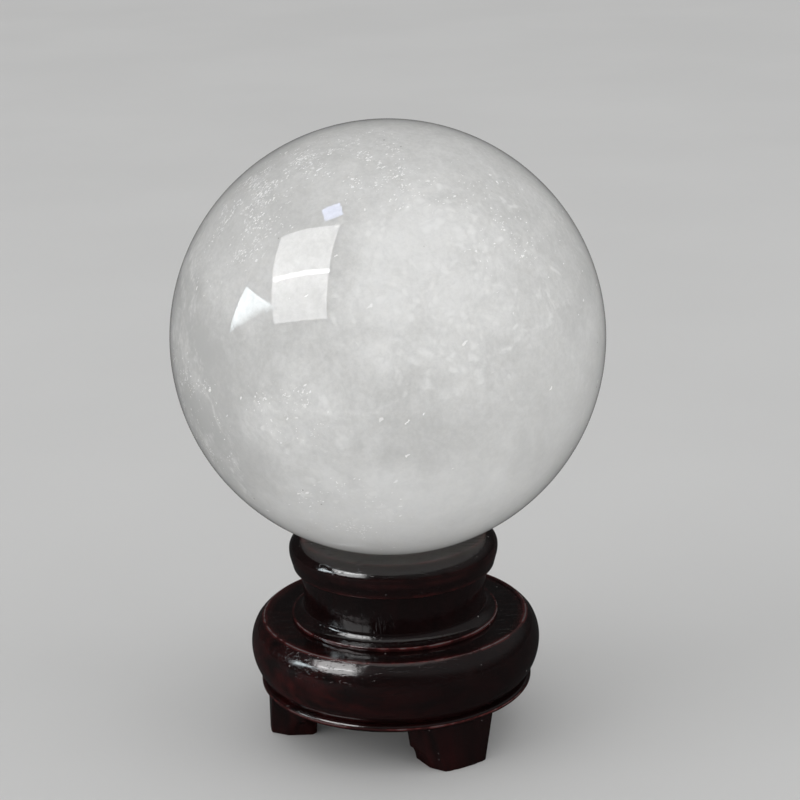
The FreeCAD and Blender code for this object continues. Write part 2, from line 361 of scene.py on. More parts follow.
    def _patches(self, bench: NodeBench, place: Input, zones: Iterable[Zone]) -> Socket:
        """Return the sum of soft round patches.

        Args:
            bench: The bench that holds the material's nodes.
            place: Where on the ball, in ball radii from its centre.
            zones: The patches and their strengths.

        Returns:
            The summed mask.
        """
        masks = []
        for zone in zones:
            nearness = bench.dot(place, Vector(zone.towards).normalized())
            masks.append(bench.fade(nearness, math.cos(zone.reach), 1.0, 0.0, zone.strength))
        return bench.total(masks)

    def _milk(self, bench: NodeBench, place: Input, drifted: Input) -> Socket:
        """Return how milky the stone is, from clear to white, with painted light making the bottom
        milkier.

        Args:
            bench: The bench that holds the material's nodes.
            place: Where on the ball, in ball radii from its centre.
            drifted: The same place, bent by slow noise.

        Returns:
            The share of cloudy stone.
        """
        cloud = bench.noise(drifted, 2.4, 7.0, 0.6).outputs[0]
        fleece = bench.noise(drifted, 13.0, 9.0, 0.74).outputs[0]
        crumbs = bench.noise(place, 48.0, 5.0, 0.7).outputs[0]
        wisps = bench.noise(drifted, 12.0, 6.0, 0.6, "RIDGED_MULTIFRACTAL").outputs[0]
        upper = bench.fade(bench.dot(place, Vector((-0.25, -0.35, 0.90))), -0.35, 0.45, 0.35, 1.0)
        puffs = bench.specks(drifted, 17.0, 0.50, self._patches(bench, place, self.puffs), 0.0)
        parts = [
            # the clouds, and the painted light that brightens the bottom
            self._patches(bench, drifted, self.clouds_and_painted_light),
            bench.fade(cloud, 0.25, 0.75, -0.09, 0.09),
            bench.maths("MULTIPLY", upper, bench.fade(fleece, 0.3, 0.7, -0.09, 0.09)),
            bench.maths("MULTIPLY", upper, bench.fade(crumbs, 0.3, 0.7, -0.07, 0.07)),
            bench.maths("MULTIPLY", upper, bench.fade(wisps, 0.45, 1.1, 0.0, 0.11)),
            bench.maths("MULTIPLY", puffs, 0.34),
        ]
        streaks = bench.noise(bench.stretched(place, (3.0, 9.0, 3.0)), 6.0, 6.0, 0.7).outputs[0]
        for veil in self.veils:
            height = bench.dot(drifted, Vector(veil.normal).normalized())
            near = bench.maths("ABSOLUTE", bench.maths("SUBTRACT", height, veil.offset))
            line = bench.fade(near, veil.width, 0.0, 0.0, veil.strength)
            parts.append(bench.maths("MULTIPLY", line, bench.fade(streaks, 0.4, 0.6)))
        return bench.fade(bench.maths("ADD", bench.total(parts), self.haze), 0.0, 1.0)

    def _painted_glints(self, bench: NodeBench, place: Input) -> Socket:
        """Return painted glints, white specks that stand in for light off small inner cracks: swarms in
        their fields and single ones anywhere.

        Args:
            bench: The bench that holds the material's nodes.
            place: Where on the ball, in ball radii from its centre.

        Returns:
            The mask of all painted glints.
        """
        swarm = bench.fade(bench.noise(place, 8.0, 4.0, 0.75).outputs[0], 0.47, 0.64)
        swarm = bench.maths("MULTIPLY", swarm, self._patches(bench, place, self.glint_fields))
        shake = bench.scaled(bench.noise(place, 40.0, 2.0).outputs[1], 0.030)
        shaken = bench.vector("ADD", place, shake)
        slanted = bench.drawn_out(shaken, self.slant, self.glint_length)
        flecks = [
            bench.specks(slanted, scale, size, bench.maths("MULTIPLY", swarm, share), 0.75)
            for scale, size, share in self.glint_sizes
        ]
        flecks.append(bench.specks(slanted, *self.stray_glints, 0.75))
        result = flecks[0]
        for fleck in flecks[1:]:
            result = bench.maths("MAXIMUM", result, fleck)
        return result

    def _polish(self, bench: NodeBench, place: Input) -> Socket:
        """Return the normal of a hand polished surface: hair scratches and a faint ripple.

        Args:
            bench: The bench that holds the material's nodes.
            place: Where on the ball, in ball radii from its centre.

        Returns:
            The normal.
        """
        hairs = bench.noise(bench.stretched(place, (1.0, 24.0, 3.0), 35.0), 14.0, 3.0, 0.6).outputs[0]
        scratch = bench.fade(hairs, 0.64, 0.70)
        ripple = bench.noise(place, 3.0, 2.0, 0.5).outputs[0]
        height = bench.maths("SUBTRACT", ripple, bench.maths("MULTIPLY", scratch, 0.02))
        bump = bench.add("ShaderNodeBump", {"Strength": 0.10, "Distance": 0.00025, "Height": height})
        return bump.outputs[0]


@dataclass(frozen=True)
class LacqueredWood:
    """Dark red-brown lacquered hardwood, worn at its edges and a little dusty; painted light reddens its
    lit side and painted highlights line its edges.
    """

    grain: Grain
    deep: Colour = (0.0040, 0.0020, 0.0020, 1.0)
    red: Colour = (0.046, 0.0060, 0.0060, 1.0)
    worn: Colour = (0.11, 0.021, 0.020, 1.0)
    # painted highlight: a pale grey line laid on the most worn edges, standing in for light caught on
    # them
    painted_edge_highlight: Colour = (0.090, 0.074, 0.074, 1.0)
    dust: Colour = (0.42, 0.40, 0.39, 1.0)
    # painted light: the red shows fully on the low left front, which faces the window, and fades to a
    # darker tone towards the right, the back and the top
    painted_light_side: Vector = Vector((-0.62, -0.45, -0.64)).normalized()
    refraction: float = 1.5
    gloss: float = 0.90
    figure_scale: float = 260.0
    pore_scale: float = 1500.0
    peel_scale: float = 520.0

    def material(self) -> bpy.types.Material:
        """Return the wood, laid out in metres in the frame.

        Returns:
            The finished material.
        """
        bench = NodeBench(bpy.data.materials.new(f"lacquered_wood_{self.grain.name.lower()}"))
        place = bench.add("ShaderNodeTexCoord").outputs["Object"]
        along = bench.stretched(place, self.grain.value, 7.0)
        bend = bench.scaled(bench.noise(place, 45.0, 2.0).outputs[1], 0.006)
        figure = bench.noise(bench.vector("ADD", along, bend), self.figure_scale, 6.0, 0.62).outputs[0]
        patch = bench.noise(place, 38.0, 3.0, 0.5).outputs[0]
        pores = bench.fade(bench.noise(along, self.pore_scale, 2.0, 0.6).outputs[0], 0.60, 0.70)
        uneven = bench.fade(patch, 0.25, 0.7, 0.35, 1.0)
        # painted light: the figure's red is kept on the lit low left front and darkened everywhere else
        painted_light = bench.fade(bench.dot(place, self.painted_light_side), -0.006, 0.018, 0.12, 1.0)
        stain_and_painted_light = bench.maths("MULTIPLY", bench.fade(figure, 0.30, 0.72), uneven)
        stain_and_painted_light = bench.maths("MULTIPLY", stain_and_painted_light, painted_light)
        base = bench.mix(stain_and_painted_light, self.deep, self.red)
        base = bench.mix(bench.maths("MULTIPLY", pores, 0.6), base, self.deep)
        wear_and_highlight = self._wear_and_highlight(bench, place)
        base = bench.mix(wear_and_highlight, base, self.worn)
        # painted highlight: where the edge value runs past 0.75 the colour goes to the pale grey line of
        # light caught on the edge
        base = bench.mix(bench.fade(wear_and_highlight, 0.75, 1.1), base, self.painted_edge_highlight)
        dust = self._dust(bench, place)
        base = bench.mix(dust, base, self.dust)
        smears = bench.fade(bench.noise(place, 130.0, 4.0, 0.6).outputs[0], 0.35, 0.75, 0.09, 0.19)
        rough = bench.maths("MAXIMUM", smears, bench.maths("MULTIPLY", dust, 0.7))
        rough = bench.maths("MAXIMUM", rough, bench.maths("MULTIPLY", wear_and_highlight, 0.22))
        return bench.finish({
            "Base Color": base,
            "Roughness": rough,
            "IOR": self.refraction,
            "Specular IOR Level": self.gloss,
            "Normal": self._surface(bench, place, pores, dust),
        })

    def _wear_and_highlight(self, bench: NodeBench, place: Input) -> Socket:
        """Return where the lacquer is worn thin at parts of the sanded edges; high values also paint a
        pale edge highlight.

        Args:
            bench: The bench that holds the material's nodes.
            place: Where on the piece, in metres.

        Returns:
            How far the lacquer is worn; above 0.75 it paints the edge highlight.
        """
        edge = bench.add("ShaderNodeAttribute", attribute_name=WEAR_AND_HIGHLIGHT).outputs["Fac"]
        rubbing_and_highlight = bench.fade(bench.noise(place, 170.0, 4.0, 0.6).outputs[0], 0.38, 0.62, 0.15, 0.95)
        return bench.maths("MULTIPLY", edge, rubbing_and_highlight)

    def _dust(self, bench: NodeBench, place: Input) -> Socket:
        """Return the specks of dust: a few grains anywhere and fine ones in loose drifts.

        Args:
            bench: The bench that holds the material's nodes.
            place: Where on the piece, in metres.

        Returns:
            The mask of the dust.
        """
        grains = bench.specks(place, 330.0, 0.085, 0.12)
        drift = bench.fade(bench.noise(place, 90.0, 3.0, 0.6).outputs[0], 0.55, 0.68)
        fine = bench.maths("MULTIPLY", bench.specks(place, 900.0, 0.15, 0.20), drift)
        fine = bench.maths("MULTIPLY", fine, 0.6)
        return bench.maths("MAXIMUM", bench.maths("MULTIPLY", grains, 0.8), fine)

    def _surface(self, bench: NodeBench, place: Input, pores: Input, dust: Input) -> Socket:
        """Return the lacquer's normal: brushed unevenness, sunk pores and dust that stands proud.

        Args:
            bench: The bench that holds the material's nodes.
            place: Where on the piece, in metres.
            pores: The mask of the open pores.
            dust: The mask of the dust.

        Returns:
            The normal.
        """
        peel = bench.noise(place, self.peel_scale, 3.0, 0.55).outputs[0]
        flow = bench.noise(place, 110.0, 2.0, 0.5).outputs[0]
        height = bench.total([
            bench.maths("MULTIPLY", peel, 0.30),
            bench.maths("MULTIPLY", flow, 0.9),
            bench.maths("MULTIPLY", pores, -0.26),
            bench.maths("MULTIPLY", dust, 0.25),
        ])
        bump = bench.add("ShaderNodeBump", {"Strength": 0.55, "Distance": 0.00022, "Height": height})
        return bump.outputs[0]


@dataclass(frozen=True)
class BareBeech:
    """Bare beech dowel: straight fine grain with short darker flecks."""

    pale: Colour = (0.66, 0.47, 0.30, 1.0)
    brown: Colour = (0.46, 0.28, 0.15, 1.0)

    def material(self) -> bpy.types.Material:
        """Return the beech, with its grain upright.

        Returns:
            The finished material.
        """
        bench = NodeBench(bpy.data.materials.new("bare_beech"))
        place = bench.add("ShaderNodeTexCoord").outputs["Object"]
        along = bench.stretched(place, (1.0, 1.0, 0.08))
        fibre = bench.noise(along, 1400.0, 5.0, 0.6).outputs[0]
        fleck = bench.fade(bench.noise(along, 2600.0, 2.0, 0.5).outputs[0], 0.60, 0.72)
        tone = bench.maths("MAXIMUM", bench.fade(fibre, 0.35, 0.7), bench.maths("MULTIPLY", fleck, 0.8))
        bump = bench.add("ShaderNodeBump", {"Strength": 0.4, "Distance": 0.0001, "Height": fibre})
        return bench.finish({
            "Base Color": bench.mix(tone, self.pale, self.brown),
            "Roughness": bench.fade(fibre, 0.3, 0.7, 0.55, 0.75),
            "Normal": bump.outputs[0],
        })


@dataclass(frozen=True)
class ZincSteel:
    """Zinc plated screw steel: faint turning rings, a mottled coat and dull patches."""

    bright: Colour = (0.66, 0.65, 0.61, 1.0)
    dull: Colour = (0.40, 0.39, 0.37, 1.0)

    def material(self) -> bpy.types.Material:
        """Return the plated steel.

        Returns:
            The finished material.
        """
        bench = NodeBench(bpy.data.materials.new("zinc_steel"))
        place = bench.add("ShaderNodeTexCoord").outputs["Object"]
        mottle = bench.noise(place, 900.0, 4.0, 0.6).outputs[0]
        rings = bench.add("ShaderNodeTexWave", {"Vector": place, "Scale": 700.0, "Distortion": 1.5},
                          wave_type="RINGS", rings_direction="Z").outputs["Fac"]
        bump = bench.add("ShaderNodeBump", {"Strength": 0.3, "Distance": 0.00003, "Height": rings})
        return bench.finish({
            "Base Color": bench.mix(bench.fade(mottle, 0.35, 0.7), self.bright, self.dull),
            "Metallic": 1.0,
            "Roughness": bench.fade(mottle, 0.3, 0.7, 0.26, 0.48),
            "Normal": bump.outputs[0],
        })


@dataclass(frozen=True)
class MattePaper:
    """The plain pale sheet that the stand is on, kept dim in the lacquer's mirror."""

    shade: Colour = (0.70, 0.70, 0.695, 1.0)
    mirrored_shade: Colour = (0.036, 0.036, 0.036, 1.0)

    def material(self) -> bpy.types.Material:
        """Return the paper, with a barely uneven tone.

        Returns:
            The finished material.
        """
        bench = NodeBench(bpy.data.materials.new("matte_paper"))
        place = bench.add("ShaderNodeTexCoord").outputs["Object"]
        tone = bench.noise(place, 6.0, 3.0, 0.5).outputs[0]
        darker = tuple(0.97 * part for part in self.shade[:3]) + (1.0,)
        paper = bench.mix(bench.fade(tone, 0.3, 0.7), darker, self.shade)
        mirrored = bench.add("ShaderNodeLightPath").outputs["Is Glossy Ray"]
        return bench.finish({
            "Base Color": bench.mix(mirrored, paper, self.mirrored_shade),
            "Roughness": 0.8,
            "Specular IOR Level": 0.2,
        })


# ---------------------------------------------------------------- turned work


@dataclass(frozen=True)
class Corner:
    """A corner of a turned section, and how the cut runs from it to the next corner."""

    radius: float
    height: float
    curve: float = 0.0
    hollow: bool = False
    ease: float = 0.0
    joint: bool = False
    # How worn the eased corner is; above 0.75 the lacquer also paints a pale edge highlight there.
    rubbing_and_highlight: float = 0.6


@dataclass(frozen=True)
class Nick:
    """A small knock in an edge: where it is, and how deep and wide it is."""

    turn: float
    radius: float
    height: float
    depth: float
    width: float


@dataclass
class TurnedSection:
    """The closed half section of a turned piece, walked with the wood on the left."""

    corners: list[Corner]
    open_step: float = 0.0007
    ease_points: int = 6
    # A rounding takes under half of the way to the next point, so two never overlap: a section that
    # doubles back spoils the boring of the piece.
    ease_share: float = 0.45

    def points(self) -> list[tuple[Vector, float, float]]:
        """Return the section's points.

        Returns:
            For each point its radius and height, how worn it is (high values also paint an edge
            highlight), and 1 where it is open to the air.
        """
        runs = [self._run(index) for index in range(len(self.corners))]
        result: list[tuple[Vector, float, float]] = []
        for index, corner in enumerate(self.corners):
            before = runs[index - 1][-1]
            run = runs[index]
            after = run[1] if len(run) > 1 else runs[(index + 1) % len(runs)][0]
            result.extend(self._corner(corner, before, run[0], after))
            shown = 0.0 if corner.joint else 1.0
            result.extend((point, 0.0, shown) for point in run[1:])
        return result

    def _run(self, index: int) -> list[Vector]:
        """Return the points from a corner up to, but not with, the next corner.

        Args:
            index: The corner's number.

        Returns:
            The run's points, as radius and height.
        """
        corner = self.corners[index]
        last = self.corners[(index + 1) % len(self.corners)]
        start = Vector((corner.radius, corner.height))
        end = Vector((last.radius, last.height))
        chord = end - start
        length = chord.length
        if corner.curve:
            side = -1.0 if corner.hollow else 1.0
            across = Vector((-chord.y, chord.x)) / length * side
            rise = math.sqrt(max(corner.curve ** 2 - length ** 2 / 4, 0.0))
            centre = (start + end) / 2 + across * rise
            sweep = 2 * math.asin(min(length / 2 / corner.curve, 1.0)) * side
            count = max(4, round(length / self.open_step))
            arm = start - centre
            return [centre + Matrix.Rotation(sweep * step / count, 2) @ arm for step in range(count)]
        count = 1 if corner.joint else max(1, round(length / (self.open_step * 2)))
        return [start + chord * step / count for step in range(count)]

    def _corner(self, corner: Corner, before: Vector, here: Vector,
                after: Vector) -> list[tuple[Vector, float, float]]:
        """Return the points of one corner, rounded over where it is eased.

        Args:
            corner: The corner.
            before: The point before it.
            here: Its own place.
            after: The point after it.

        Returns:
            Its points, with how worn each is (high values also paint an edge highlight), and whether they
            are open to the air.
        """
        if not corner.ease:
            return [(here, 0.0, 0.0 if corner.joint else 1.0)]
        inward = before - here
        outward = after - here
        start = here + inward.normalized() * min(corner.ease, inward.length * self.ease_share)
        end = here + outward.normalized() * min(corner.ease, outward.length * self.ease_share)
        result = []
        for step in range(self.ease_points + 1):
            share = step / self.ease_points
            point = start * (1 - share) ** 2 + here * 2 * share * (1 - share) + end * share ** 2
            result.append((point, corner.rubbing_and_highlight * math.sin(math.pi * (0.15 + 0.7 * share)), 1.0))
        return result


@dataclass
class Lathe:
    """Turns sections into meshes, with the small unevenness of handwork."""

    sides: int = 360
    unevenness: float = 0.00005
    ripple: float = 90.0

    def turn(self, name: str, section: TurnedSection, nicks: Iterable[Nick] = ()) -> Piece:
        """Turn a section about the Z axis.

        Args:
            name: The new piece's name.
            section: The closed half section.
            nicks: Knocks in its edges.

        Returns:
            The turned piece, a closed solid that keeps at each point how worn it is, and so where an edge
            highlight is painted.
        """
        points = section.points()
        mesh = bmesh.new()
        wear_and_highlight = mesh.verts.layers.float.new(WEAR_AND_HIGHLIGHT)
        rings = []
        for index, (point, worn, shown) in enumerate(points):
            before = points[index - 1][0]
            after = points[(index + 1) % len(points)][0]
            along = (after - before).normalized()
            rings.append(self._ring(mesh, wear_and_highlight, point, Vector((along.y, -along.x)), worn, shown, nicks))
        for index, ring in enumerate(rings):
            self._skin(mesh, ring, rings[(index + 1) % len(rings)])
        return placed(name, mesh)

    def _ring(self, mesh: Mesh, wear_and_highlight: bmesh.types.BMLayerItem, point: Vector, outward: Vector,
              worn: float, shown: float, nicks: Iterable[Nick]) -> Ring:
        """Return the ring of points at one place of the section, or one point on the axis.

        Args:
            mesh: The mesh to add to.
            wear_and_highlight: The layer that keeps how worn each point is, and so where an edge
                highlight is painted.
            point: The section's point.
            outward: The way out of the wood, as radius and height.
            worn: How worn the point is; high values also paint an edge highlight.
            shown: 1 where it is open to the air.
            nicks: Knocks in the edges.

        Returns:
            The new points.
        """
        if point.x < 1e-6:
            return [mesh.verts.new((0.0, 0.0, point.y))]
        ring = []
        for side in range(self.sides):
            turn = 2 * math.pi * side / self.sides
            around = Vector((math.cos(turn), math.sin(turn), 0.0))
            spot = around * point.x + Vector((0.0, 0.0, point.y))
            depth = shown * self.unevenness * (0.5 + 0.5 * noise.noise(spot * self.ripple))
            for nick in nicks:
                depth += nick.depth * self._knock(spot, nick)
            push = around * outward.x + Vector((0.0, 0.0, outward.y))
            vertex = mesh.verts.new(spot - push * depth)
            vertex[wear_and_highlight] = worn
            ring.append(vertex)
        return ring

    def _knock(self, spot: Vector, nick: Nick) -> float:
        """Return how much of a nick's depth reaches a spot.

        Args:
            spot: A place on the piece.
            nick: The knock.

        Returns:
            The share, from 0 to 1.
        """
        turn = math.radians(nick.turn)
        centre = Vector((math.cos(turn) * nick.radius, math.sin(turn) * nick.radius, nick.height))
        return 1.0 - smoothstep((spot - centre).length, 0.0, nick.width)

    def _skin(self, mesh: Mesh, first: Ring,
              second: Ring) -> None:
        """Join two neighbouring rings with faces, or a ring with a point on the axis.

        Args:
            mesh: The mesh to add to.
            first: The ring that comes first in the section.
            second: The next ring.
        """
        if len(first) == 1 and len(second) == 1:
            return
        for side in range(self.sides):
            after = (side + 1) % self.sides
            if len(first) == 1:
                mesh.faces.new((first[0], second[after], second[side]))
            elif len(second) == 1:
                mesh.faces.new((first[side], first[after], second[0]))
            else:
                mesh.faces.new((first[side], first[after], second[after], second[side]))


# ---------------------------------------------------------------- work on pieces


def placed(name: str, mesh: Mesh) -> Piece:
    """Put a mesh in the scene as a piece, shaded smooth.

    Args:
        name: The piece's name.
        mesh: Its shape, which is used up.

    Returns:
        The new piece.
    """
    data = bpy.data.meshes.new(name)
    mesh.to_mesh(data)
    mesh.free()
    data.shade_smooth()
    piece = bpy.data.objects.new(name, data)
    bpy.context.scene.collection.objects.link(piece)
    return piece


def settled(piece: Piece) -> Piece:
    """Apply all of a piece's modifiers and return the piece.

    Args:
        piece: The piece.

    Returns:
        The same piece.
    """
    graph = bpy.context.evaluated_depsgraph_get()
    data = bpy.data.meshes.new_from_object(piece.evaluated_get(graph))
    piece.modifiers.clear()
    piece.data = data
    return piece


def bored(piece: Piece, cutter: Mesh) -> Piece:
    """Cut a shape out of a piece.

    Args:
        piece: The piece to cut.
        cutter: The shape to take away, which is used up.

    Returns:
        The same piece, cut.
    """
    tool = placed("tool", cutter)
    cut = piece.modifiers.new("cut", "BOOLEAN")
    cut.object = tool
    cut.solver = "EXACT"
    settled(piece)
    bpy.data.objects.remove(tool)
    return piece


def add_rod(mesh: Mesh, radius: float, low: Vector, high: Vector, sides: int = 48) -> None:
    """Add a closed round rod between two points to a mesh.

    Args:
        mesh: The mesh to add to.
        radius: The rod's radius.
        low: Where it starts.
        high: Where it ends.
        sides: How many flat sides it has.
    """
    axis = high - low
    turn = Vector((0.0, 0.0, 1.0)).rotation_difference(axis).to_matrix().to_4x4()
    bmesh.ops.create_cone(
        mesh, cap_ends=True, segments=sides, radius1=radius, radius2=radius, depth=axis.length,
        matrix=Matrix.Translation((low + high) / 2) @ turn)


def dress(piece: Piece, material: bpy.types.Material, slot: Slot, body: str,
          *nodes: str) -> None:
    """Finish a piece and fasten it to its body.

    Args:
        piece: The finished shape.
        material: What it is covered with.
        slot: The record's finish that it stands for; not used.
        body: The body that it moves with.
        *nodes: The frame's nodes that it takes the place of.
    """
    piece.data.materials.clear()
    piece.data.materials.append(material)
    piece.data.set_sharp_from_angle(angle=math.radians(SHARP_ANGLE))
    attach(piece, body)
    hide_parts(*nodes)
    log.info("%s: %d faces", piece.name, len(piece.data.polygons))


# ---------------------------------------------------------------- the ball


@dataclass
class QuartzBall:
    """The polished ball, lapped by hand, so it is round to a few hundredths of a millimetre."""

    rows: int = 126
    lapping: float = 0.00003
    pits: tuple[tuple[float, float, float], ...] = (
        (0.83, -0.50, 0.22),
        (-0.52, -0.73, 0.44),
        (-0.30, 0.85, 0.43),
        (0.20, -0.10, 0.97),
    )
    pit_depth: float = 0.00010
    pit_reach: float = 0.0009
    centre: Vector = field(init=False)
    radius: float = field(init=False)

    def __post_init__(self) -> None:
        """Take the ball's centre and radius from the frame."""
        low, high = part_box("crystal_ball")
        self.centre = (low + high) / 2
        self.radius = (high.z - low.z) / 2

    def build(self) -> Piece:
        """Return the ball: a cube's six faces, finely divided and drawn out to the sphere.

        Returns:
            The ball.
        """
        mesh = bmesh.new()
        bmesh.ops.create_cube(mesh, size=2.0)
        bmesh.ops.subdivide_edges(mesh, edges=mesh.edges, cuts=self.rows, use_grid_fill=True)
        for vertex in mesh.verts:
            spread = Vector(math.tan(part * math.pi / 4) for part in vertex.co)
            outward = spread.normalized()
            vertex.co = self.centre + outward * (self.radius - self._loss(outward))
        return placed("quartz_ball", mesh)

    def dress(self, piece: Piece) -> None:
        """Give the ball its stone and let it ride on its own body."""
        quartz = MilkyQuartz(self.centre, self.radius).material()
        dress(piece, quartz, Slot.QUARTZ, BALL, "crystal_ball")

    def _loss(self, outward: Vector) -> float:
        """Return how far the surface lies under the true sphere in a direction.

        Args:
            outward: The unit vector from the ball's centre.

        Returns:
            The depth.
        """
        loss = self.lapping * (0.5 + 0.5 * noise.noise(outward * 2.5))
        for pit in self.pits:
            reach = (outward - Vector(pit).normalized()).length * self.radius
            loss += self.pit_depth * (1.0 - smoothstep(reach, 0.0, self.pit_reach))
        return loss


# ---------------------------------------------------------------- the stand


@dataclass
class FootCircle:
    """Where the three feet stand, read from the frame's dowel nodes."""

    places: tuple[str, ...] = ("front", "rear", "left")

    def angles(self) -> list[float]:
        """Return each foot's angle about the axis, from +X, in the order of the places.

        Returns:
            The angles, in radians.
        """
        angles = []
        for place in self.places:
            low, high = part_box(f"dowel_{place}")
            middle = (low + high) / 2
            angles.append(math.atan2(middle.y, middle.x))
        return angles

    def holes(self, low: float, high: float) -> Mesh:
        """Return three rods, the shape of the dowel holes between two heights.

        Args:
            low: The height of their lower ends.
            high: The height of their upper ends.

        Returns:
            The rods.
        """
        rods = bmesh.new()
        for angle in self.angles():
            foot = Vector((math.cos(angle), math.sin(angle), 0.0)) * DOWEL_CIRCLE
            add_rod(rods, DOWEL_HOLE_RADIUS, foot + Vector((0, 0, low)), foot + Vector((0, 0, high)))
        return rods


@dataclass
class CupCollar:
    """The collar that holds the ball, with a rounded shoulder and a seat that follows the ball."""

    ball: QuartzBall
    socket_radius: float = 0.01205
    socket_depth: float = 0.0030
    ledge_radius: float = 0.0262
    side_low: float = 0.0038
    side_high: float = 0.0054
    shoulder_curve: float = 0.0042
    edge_radius: float = 0.0238
    ring_share: float = 0.85
    seat_gap: float = 0.0002
    seat_outer: float = 0.0168
    seat_inner: float = 0.0120
    relief_radius: float = 0.0112
    relief_height: float = 0.0060
    relief_floor: float = 0.0046

    def build(self, lathe: Lathe) -> Piece:
        """Return the turned collar.

        Args:
            lathe: What turns it.

        Returns:
            The collar.
        """
        low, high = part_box("cup_collar")
        base = low.z
        outer = high.x
        seat_curve = self.ball.radius + self.seat_gap
        drop = self.ball.centre.z
        seat_top = drop - math.sqrt(seat_curve ** 2 - self.seat_outer ** 2)
        seat_foot = drop - math.sqrt(seat_curve ** 2 - self.seat_inner ** 2)
        edge = Vector((self.edge_radius, high.z))
        ring = edge.lerp(Vector((self.seat_outer, seat_top)), self.ring_share)
        corners = [
            Corner(self.socket_radius, base, joint=True),
            Corner(self.ledge_radius, base, ease=0.00035),
            Corner(outer, base + self.side_low, ease=0.0007, rubbing_and_highlight=0.12),
            Corner(outer, base + self.side_high, self.shoulder_curve, ease=0.0004, rubbing_and_highlight=0.1),
            Corner(self.edge_radius, high.z, ease=0.0005, rubbing_and_highlight=0.9),
            Corner(ring.x, ring.y, ease=0.0009, rubbing_and_highlight=0.74),
            Corner(self.seat_outer, seat_top, seat_curve, hollow=True, ease=0.0004, rubbing_and_highlight=1.2),
            Corner(self.seat_inner, seat_foot, ease=0.0002),
            Corner(self.relief_radius, base + self.relief_height),
            Corner(0.0, base + self.relief_floor, joint=True),
            Corner(0.0, base + self.socket_depth, joint=True),
            Corner(self.socket_radius, base + self.socket_depth, joint=True),
        ]
        nicks = [
            Nick(-112.0, self.edge_radius, high.z, 0.00018, 0.0016),
            Nick(-62.0, outer, base + self.side_high, 0.00012, 0.0014),
            Nick(35.0, outer, base + self.side_low, 0.00015, 0.0015),
            Nick(160.0, self.edge_radius, high.z, 0.00016, 0.0018),
        ]
        return lathe.turn("turned_collar", TurnedSection(corners), nicks)


@dataclass
class Neck:
    """The waisted neck, with a flange below, a spigot at each end and a pilot hole for the screw."""

    spigot_radius: float = 0.0120
    flange_thickness: float = 0.0011
    cove_curve: float = 0.0036
    waist_radius: float = 0.0236
    waist_height: float = 0.0030
    side_curve: float = 0.090
    top_radius: float = 0.0247
    top_spigot: float = 0.0028
    low_spigot: float = 0.0080
    pilot_end: float = 0.0004

    def build(self, lathe: Lathe) -> Piece:
        """Return the turned neck.

        Args:
            lathe: What turns it.

        Returns:
            The neck.
        """
        low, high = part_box("neck")
        flange = high.x
        base = low.z + self.low_spigot
        top = high.z - self.top_spigot
        screw_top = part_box("stem_screw")[1].z + self.pilot_end
        corners = [
            Corner(SCREW_HOLE_RADIUS, low.z, joint=True),
            Corner(self.spigot_radius, low.z, joint=True),
            Corner(self.spigot_radius, base, joint=True),
            Corner(flange, base, ease=0.0003),
            Corner(flange, base + self.flange_thickness, self.cove_curve, hollow=True, ease=0.0004,
                   rubbing_and_highlight=1.5),
            Corner(self.waist_radius, base + self.waist_height, self.side_curve, hollow=True),
            Corner(self.top_radius, top, joint=True),
            Corner(self.spigot_radius, top, joint=True),
            Corner(self.spigot_radius, high.z, joint=True),
            Corner(0.0, high.z, joint=True),
            Corner(0.0, screw_top, joint=True),
            Corner(SCREW_HOLE_RADIUS, screw_top, joint=True),
        ]
        nicks = [
            Nick(-70.0, flange, base + self.flange_thickness, 0.00015, 0.0014),
            Nick(-118.0, flange, base + self.flange_thickness, 0.00018, 0.0020),
            Nick(100.0, flange, base + self.flange_thickness, 0.00015, 0.0016),
        ]
        return lathe.turn("turned_neck", TurnedSection(corners), nicks)


@dataclass
class BaseDrum:
    """The broad drum: bellied side, rounded shoulder, a fine raised rim and a shallow dished top."""

    feet: FootCircle
    foot_radius: float = 0.0340
    low_curve: float = 0.0138
    belly_height: float = 0.0096
    high_curve: float = 0.0103
    shoulder_radius: float = 0.0366
    shoulder_height: float = 0.0146
    bevel_curve: float = 0.0090
    rim_radius: float = 0.0344
    rim_width: float = 0.0010
    dish_depth: float = 0.0004
    socket_radius: float = 0.01205
    socket_depth: float = 0.0083
    hole_depth: float = 0.00525

    def build(self, lathe: Lathe) -> Piece:
        """Return the turned drum, bored for its dowels.

        Args:
            lathe: What turns it.

        Returns:
            The drum.
        """
        low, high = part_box("base_drum")
        base = low.z
        top = high.z
        dish = top - self.dish_depth
        inside = self.rim_radius - self.rim_width
        corners = [
            Corner(SCREW_HOLE_RADIUS, base, joint=True),
            Corner(self.foot_radius, base, self.low_curve, ease=0.0003),
            Corner(high.x, base + self.belly_height, self.high_curve),
            Corner(self.shoulder_radius, base + self.shoulder_height, self.bevel_curve),
            Corner(self.rim_radius, top, ease=0.00025, rubbing_and_highlight=1.9),
            Corner(inside, top, ease=0.0002),
            Corner(inside, dish, ease=0.00012),
            Corner(self.socket_radius, dish, joint=True),
            Corner(self.socket_radius, dish - self.socket_depth, joint=True),
            Corner(SCREW_HOLE_RADIUS, dish - self.socket_depth, joint=True),
        ]
        nicks = [
            Nick(-104.0, self.rim_radius, top, 0.00016, 0.0016),
            Nick(-148.0, self.shoulder_radius, base + self.shoulder_height, 0.00012, 0.0030),
            Nick(-58.0, self.rim_radius, top, 0.00012, 0.0012),
            Nick(70.0, self.rim_radius, top, 0.00016, 0.0018),
            Nick(-88.0, high.x, base + self.belly_height, 0.00008, 0.0016),
        ]
        drum = lathe.turn("turned_drum", TurnedSection(corners), nicks)
        return bored(drum, self.feet.holes(base - self.hole_depth, base + self.hole_depth))


